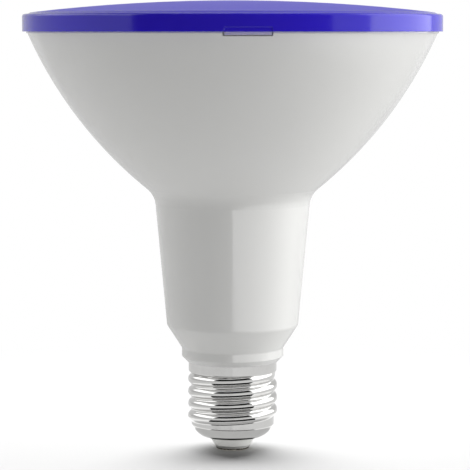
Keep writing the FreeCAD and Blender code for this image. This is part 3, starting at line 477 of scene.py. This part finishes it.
# Painted light: under the tab's top the tint turns a pale lilac, in place of light through the thin
# tab.
painted_tab_light = node(
    tree, "ShaderNodeMapRange",
    {
        "From Min": tab_top - 0.15 * mm, "From Max": tab_top,
        "To Min": tab_painted_light, "To Max": 0.0,
    },
    {"Value": heights.outputs["Z"]},
)
tint = node(
    tree, "ShaderNodeMix", {"data_type": "RGBA", 7: linear("#E6E2F4")},
    {0: painted_tab_light.outputs["Result"], 6: tint.outputs[2]},
)
rubbed = node(
    tree, "ShaderNodeMapRange",
    {"From Min": 0.35, "From Max": 0.75, "To Min": 0.0, "To Max": 0.06},
    {"Value": hairs.outputs["Fac"]},
)
polish = node(
    tree, "ShaderNodeMapRange", {"To Min": frosted_roughness, "To Max": polished_roughness},
    {"Value": band.outputs["Result"]},
)
rough = node(
    tree, "ShaderNodeMath", {"operation": "ADD"},
    {0: polish.outputs["Result"], 1: rubbed.outputs["Result"]},
)
broken = node(tree, "ShaderNodeBevel", {"samples": 4, "Radius": 0.3 * mm})
wavy = node(
    tree, "ShaderNodeBump", {"Strength": 1.0, "Distance": 0.02 * mm},
    {"Height": ripple.outputs["Fac"], "Normal": broken.outputs["Normal"]},
)
shader = node(
    tree, "ShaderNodeBsdfPrincipled",
    {
        "IOR": 1.585,
        "Subsurface Weight": 0.25,
        "Subsurface Radius": (0.4, 0.3, 1.0),
        "Subsurface Scale": 2.0 * mm,
    },
    {
        "Base Color": tint.outputs[2],
        "Roughness": rough.outputs[0],
        "Normal": wavy.outputs["Normal"],
    },
)
node(tree, "ShaderNodeOutputMaterial", None, {"Surface": shader.outputs["BSDF"]})
dress("front_cover", cover)


# Table: a plain white table that runs out into the white behind it. Near the lamp it is a matt
# white that takes the lamp's shadow, and further off it is as bright as the background. It
# throws back less light than it shows, so that the lamp keeps its modelling.
table_radius = 0.5
table_drop = 0.05 * mm
matt_radius = 0.06
white_radius = 0.2
thrown_back = linear("#A8A8A8")
shown = linear("#BEBEBE")
bpy.ops.mesh.primitive_circle_add(
    vertices=128, radius=table_radius, fill_type="NGON", location=(0, 0, -table_drop),
)
white_table = bpy.context.object
white_table.name = "white_table"
matt, tree, place = start_material("matt white table")
away = node(tree, "ShaderNodeVectorMath", {"operation": "LENGTH"}, {0: place})
far = node(
    tree, "ShaderNodeMapRange",
    {"interpolation_type": "SMOOTHSTEP", "From Min": matt_radius, "From Max": white_radius},
    {"Value": away.outputs["Value"]},
)


def seen_straight(tree, path):
    """Is 1 where the camera looks at the surface straight or through glass, and 0 elsewhere."""
    seen = node(
        tree, "ShaderNodeMath", {"operation": "MAXIMUM"},
        {0: path.outputs["Is Camera Ray"], 1: path.outputs["Is Transmission Ray"]},
    )
    return seen.outputs[0]


path = node(tree, "ShaderNodeLightPath")
seen = seen_straight(tree, path)
paint = node(tree, "ShaderNodeMix", {"data_type": "RGBA", 6: thrown_back, 7: shown}, {0: seen})
table_paint = node(tree, "ShaderNodeBsdfDiffuse", None, {"Color": paint.outputs[2]})
share = node(
    tree, "ShaderNodeMath", {"operation": "MULTIPLY"}, {0: seen, 1: far.outputs["Result"]},
)
white = node(tree, "ShaderNodeEmission", {"Strength": 1.0})
both = node(
    tree, "ShaderNodeMixShader", None,
    {0: share.outputs[0], 1: table_paint.outputs[0], 2: white.outputs[0]},
)
node(tree, "ShaderNodeOutputMaterial", None, {"Surface": both.outputs[0]})
white_table.data.materials.append(matt)
white_table.visible_glossy = False


# Room: white where the camera looks straight at it, a pale grey in gloss, and dim as a light, so
# that the soft boxes model the lamp.
room_light = 0.12
more_in_gloss = 0.48
world = bpy.data.worlds.new("white studio")
bpy.context.scene.world = world
world.use_nodes = True
tree = world.node_tree
tree.nodes.clear()
path = node(tree, "ShaderNodeLightPath")
room = node(
    tree, "ShaderNodeMath", {"operation": "MULTIPLY_ADD", 1: more_in_gloss, 2: room_light},
    {0: path.outputs["Is Glossy Ray"]},
)
brightness = node(
    tree, "ShaderNodeMath", {"operation": "MAXIMUM"},
    {0: seen_straight(tree, path), 1: room.outputs[0]},
)
backdrop = node(
    tree, "ShaderNodeBackground", {"Color": (1.0, 1.0, 1.0, 1.0)},
    {"Strength": brightness.outputs[0]},
)
node(tree, "ShaderNodeOutputWorld", None, {"Surface": backdrop.outputs[0]})


# Lights: a large soft box on the right, with a fill beside it that gloss doesn't show, a weaker
# box on the left, one overhead, and one behind the lamp that lights the table alone, where only
# the cap shadows it. A narrow box further round to the front shows in the cap's gloss alone.
def chosen(name, pieces, kept="INCLUDE"):
    """A collection of pieces that a light reaches, or with EXCLUDE doesn't reach."""
    made = bpy.data.collections.new(name)
    for piece in pieces:
        made.objects.link(piece)
    for listed in made.collection_objects:
        listed.light_linking.link_state = kept
    return made


table_only = chosen("table_only", [white_table])
not_the_table = chosen("not_the_table", [white_table], "EXCLUDE")
cap_pieces = chosen("cap_pieces", [screw_shell, nodes["shell_insulator"], nodes["centre_contact"]])
housing_only = chosen("housing_only", [nodes["reflector_housing"]])


def soft_box(
    name, bearing, distance, height, width, tall, brightness,
    reaches=not_the_table, diffuse=True, gloss=True,
):
    """An area light that faces the lamp's axis. Its brightness is what a mirror would show.

    Bearing is in degrees, 0 on the camera's side of the lamp and 90 to its right. Without
    diffuse or gloss, surfaces don't show the light in that way."""
    light = bpy.data.lights.new(name, "AREA")
    light.shape = "RECTANGLE"
    light.size = width
    light.size_y = tall
    light.energy = brightness * pi * width * tall
    made = bpy.data.objects.new(name, light)
    turn = radians(bearing)
    made.location = (distance * sin(turn), -distance * cos(turn), height)
    made.rotation_euler = (radians(90), 0.0, turn)
    made.light_linking.receiver_collection = reaches
    made.visible_diffuse = diffuse
    made.visible_glossy = gloss
    bpy.context.scene.collection.objects.link(made)
    return made


soft_box(
    "right_soft_box", bearing=104, distance=0.75, height=0.45, width=0.8, tall=0.86,
    brightness=1.6,
)
soft_box(
    "right_fill", bearing=82, distance=0.76, height=0.45, width=1.2, tall=0.86,
    brightness=1.8, gloss=False,
)
soft_box(
    "cap_side_box", bearing=64, distance=0.75, height=0.45, width=0.35, tall=0.86,
    brightness=1.9, reaches=cap_pieces, diffuse=False,
)
soft_box(
    "left_soft_box", bearing=-94, distance=0.75, height=0.55, width=1.3, tall=0.5,
    brightness=1.25,
)
overhead = soft_box(
    "overhead_soft_box", bearing=0, distance=0.0, height=1.1, width=0.8, tall=0.8,
    brightness=0.8,
)
overhead.rotation_euler = (0.0, 0.0, 0.0)
table_light = soft_box(
    "table_light", bearing=180, distance=0.62, height=1.0, width=1.9, tall=1.4,
    brightness=6.3, reaches=table_only, gloss=False,
)
table_light.rotation_euler = (radians(58), 0.0, pi)
table_light.light_linking.blocker_collection = cap_pieces


# Cards that shine up: gloss doesn't show the table, so in its place two cards just under it show
# in the cap, the right one brighter. A third lies on the table and lights the cap softly.
def upward_card(name, place, width, tall, brightness, reaches, diffuse=True, gloss=True):
    """An area light laid flat at a place, so that it shines up at the lamp."""
    made = soft_box(name, 0, 0.0, 0.0, width, tall, brightness, reaches, diffuse, gloss)
    made.location = place
    made.rotation_euler = (pi, 0.0, 0.0)
    return made


under_card_width = 0.7
for name, side, brightness in (("left_under_card", -1, 0.16), ("right_under_card", 1, 0.25)):
    upward_card(
        name, place=(side * under_card_width / 2, 0.0, -1 * mm), width=under_card_width,
        tall=1.4, brightness=brightness, reaches=cap_pieces, diffuse=False,
    )
upward_card(
    "cap_card", place=(0.05, -0.05, 1 * mm), width=0.3, tall=0.3, brightness=0.45,
    reaches=cap_pieces, gloss=False,
)


# White card: shows in the housing's gloss alone, so it can hang on the right below the level of
# the table. It reaches from straight in front of the lamp to well behind its side, and its near
# edge is the line down the middle of the neck. It is brightest there, and fades to the right
# and to its foot.
card_bearing = 60
card_distance = 0.5
card_width = 2 * card_distance * tan(radians(card_bearing))
brightest = 2.3
white_card = soft_box(
    "white_card", bearing=card_bearing, distance=card_distance, height=-0.25,
    width=card_width, tall=0.5, brightness=1.0, reaches=housing_only, diffuse=False,
)
white_card.data.use_nodes = True
tree = white_card.data.node_tree
tree.nodes.clear()
spot = node(tree, "ShaderNodeNewGeometry")
parts = node(tree, "ShaderNodeSeparateXYZ", None, {"Vector": spot.outputs["Position"]})
sideways = node(
    tree, "ShaderNodeMapRange",
    {"From Min": 0.05, "From Max": 0.85, "To Min": brightest, "To Max": 0.0},
    {"Value": parts.outputs["X"]},
)
upwards = node(
    tree, "ShaderNodeMapRange",
    {"From Min": -0.38, "From Max": -0.2, "To Min": 0.0, "To Max": 1.0},
    {"Value": parts.outputs["Z"]},
)
fade = node(
    tree, "ShaderNodeMath", {"operation": "MULTIPLY"},
    {0: sideways.outputs["Result"], 1: upwards.outputs["Result"]},
)
glow = node(tree, "ShaderNodeEmission", None, {"Strength": fade.outputs[0]})
node(tree, "ShaderNodeOutputLight", None, {"Surface": glow.outputs[0]})


# Cards that only gloss shows, as product photographers set them round polished metal: a flag round
# the camera, dark between its pale foot and its white top, a ringed card on the table with a dark
# one on its front half, and a grey card behind the lamp. The dark one is painted shade, in place of
# the table's shadow round the cap's foot.
def stepped_glow(tree, place, brightness, steps):
    """An emission of that brightness to which each step adds more, or with a minus takes some.

    A step adds nothing up to its first place, and all of it from its second place on. Places
    are heights, or distances out from the foot of the lamp."""
    parts = node(tree, "ShaderNodeSeparateXYZ", None, {"Vector": place})
    out = node(tree, "ShaderNodeVectorMath", {"operation": "LENGTH"}, {0: place})
    axes = {"up": parts.outputs["Z"], "out": out.outputs["Value"]}
    glow = node(tree, "ShaderNodeEmission", {"Strength": brightness})
    total = None
    for axis, first, second, more in steps:
        step = node(
            tree, "ShaderNodeMapRange",
            {"From Min": first, "From Max": second, "To Min": 0.0, "To Max": more},
            {"Value": axes[axis]},
        )
        before = total
        total = node(
            tree, "ShaderNodeMath", {"operation": "ADD", 0: brightness},
            {1: step.outputs["Result"]},
        )
        if before:
            tree.links.new(before.outputs[0], total.inputs[0])
        tree.links.new(total.outputs[0], glow.inputs["Strength"])
    return glow


def mirror_card(name, radii, heights, bearing, spread, reaches, brightness, steps=()):
    """A glowing card bent round the lamp's axis, between two radii and two heights.

    It reaches as far as spread to both sides of its bearing, in degrees."""
    columns = 48
    points = []
    for column in range(columns + 1):
        turn = radians(bearing + spread * (2 * column / columns - 1))
        for radius, height in zip(radii, heights):
            points.append((radius * sin(turn), -radius * cos(turn), height))
    faces = [
        (2 * column, 2 * column + 1, 2 * column + 3, 2 * column + 2) for column in range(columns)
    ]
    mesh = bpy.data.meshes.new(name)
    mesh.from_pydata(points, [], faces)
    made = bpy.data.objects.new(name, mesh)
    bpy.context.scene.collection.objects.link(made)
    made.visible_camera = False
    made.visible_diffuse = False
    made.visible_shadow = False
    made.visible_transmission = False
    made.light_linking.receiver_collection = reaches
    paint, tree, place = start_material(name)
    glow = stepped_glow(tree, place, brightness, steps)
    node(tree, "ShaderNodeOutputMaterial", None, {"Surface": glow.outputs[0]})
    made.data.materials.append(paint)


flag_spread = 51
ring_edge = 0.044
ring_height = 0.1 * mm
mirror_card(
    "front_flag", radii=(0.5, 0.5), heights=(0.0, 0.75), bearing=0, spread=flag_spread,
    reaches=cap_pieces, brightness=0.72,
    steps=[("up", 0.16, 0.2, -0.72), ("up", 0.66, 0.7, 1.0)],
)
mirror_card(
    "ringed_card", radii=(0.0, ring_edge), heights=(ring_height, ring_height), bearing=0,
    spread=180, reaches=cap_pieces, brightness=0.0,
    steps=[
        ("out", 0.007, 0.008, 0.62),
        ("out", 0.018, 0.021, 0.58),
        ("out", 0.038, ring_edge, -0.5),
    ],
)
# Painted shade: this black card stands in for the table's shadow round the cap's foot, as the cap
# mirrors it.
mirror_card(
    "painted_shade_ring", radii=(0.0195, 0.042), heights=(2 * ring_height, 2 * ring_height), bearing=0,
    spread=flag_spread, reaches=cap_pieces, brightness=0.0,
)
# The housing's gloss would show the ringed card as a dark patch, and this pale disc hides it.
# A disc has pi / 4 of the area of its square.
pale_disc = upward_card(
    "pale_disc", place=(0.0, 0.0, 3 * ring_height), width=2 * ring_edge, tall=2 * ring_edge,
    brightness=0.6, reaches=housing_only, diffuse=False,
)
pale_disc.data.shape = "DISK"
pale_disc.data.energy *= pi / 4
mirror_card(
    "back_card", radii=(0.9, 0.9), heights=(-0.1, 1.2), bearing=180, spread=45, reaches=None,
    brightness=0.7,
)


# Camera: in front of the lamp at the height of its rim and tipped down a little, with the lens
# that gives the photograph's frame.
camera_distance = 0.6
camera_height = 0.122
camera_aside = 0.0007
tipped_down = radians(5.623)
camera_data = bpy.data.cameras.new("camera")
camera_data.sensor_width = 36.0
camera_data.lens = 158.31
camera_data.clip_end = 10.0
camera = bpy.data.objects.new("camera", camera_data)
camera.location = (camera_aside, -camera_distance, camera_height)
camera.rotation_euler = (radians(90) - tipped_down, 0.0, 0.0)
bpy.context.scene.collection.objects.link(camera)
bpy.context.scene.camera = camera

bpy.context.scene.view_settings.view_transform = "Standard"
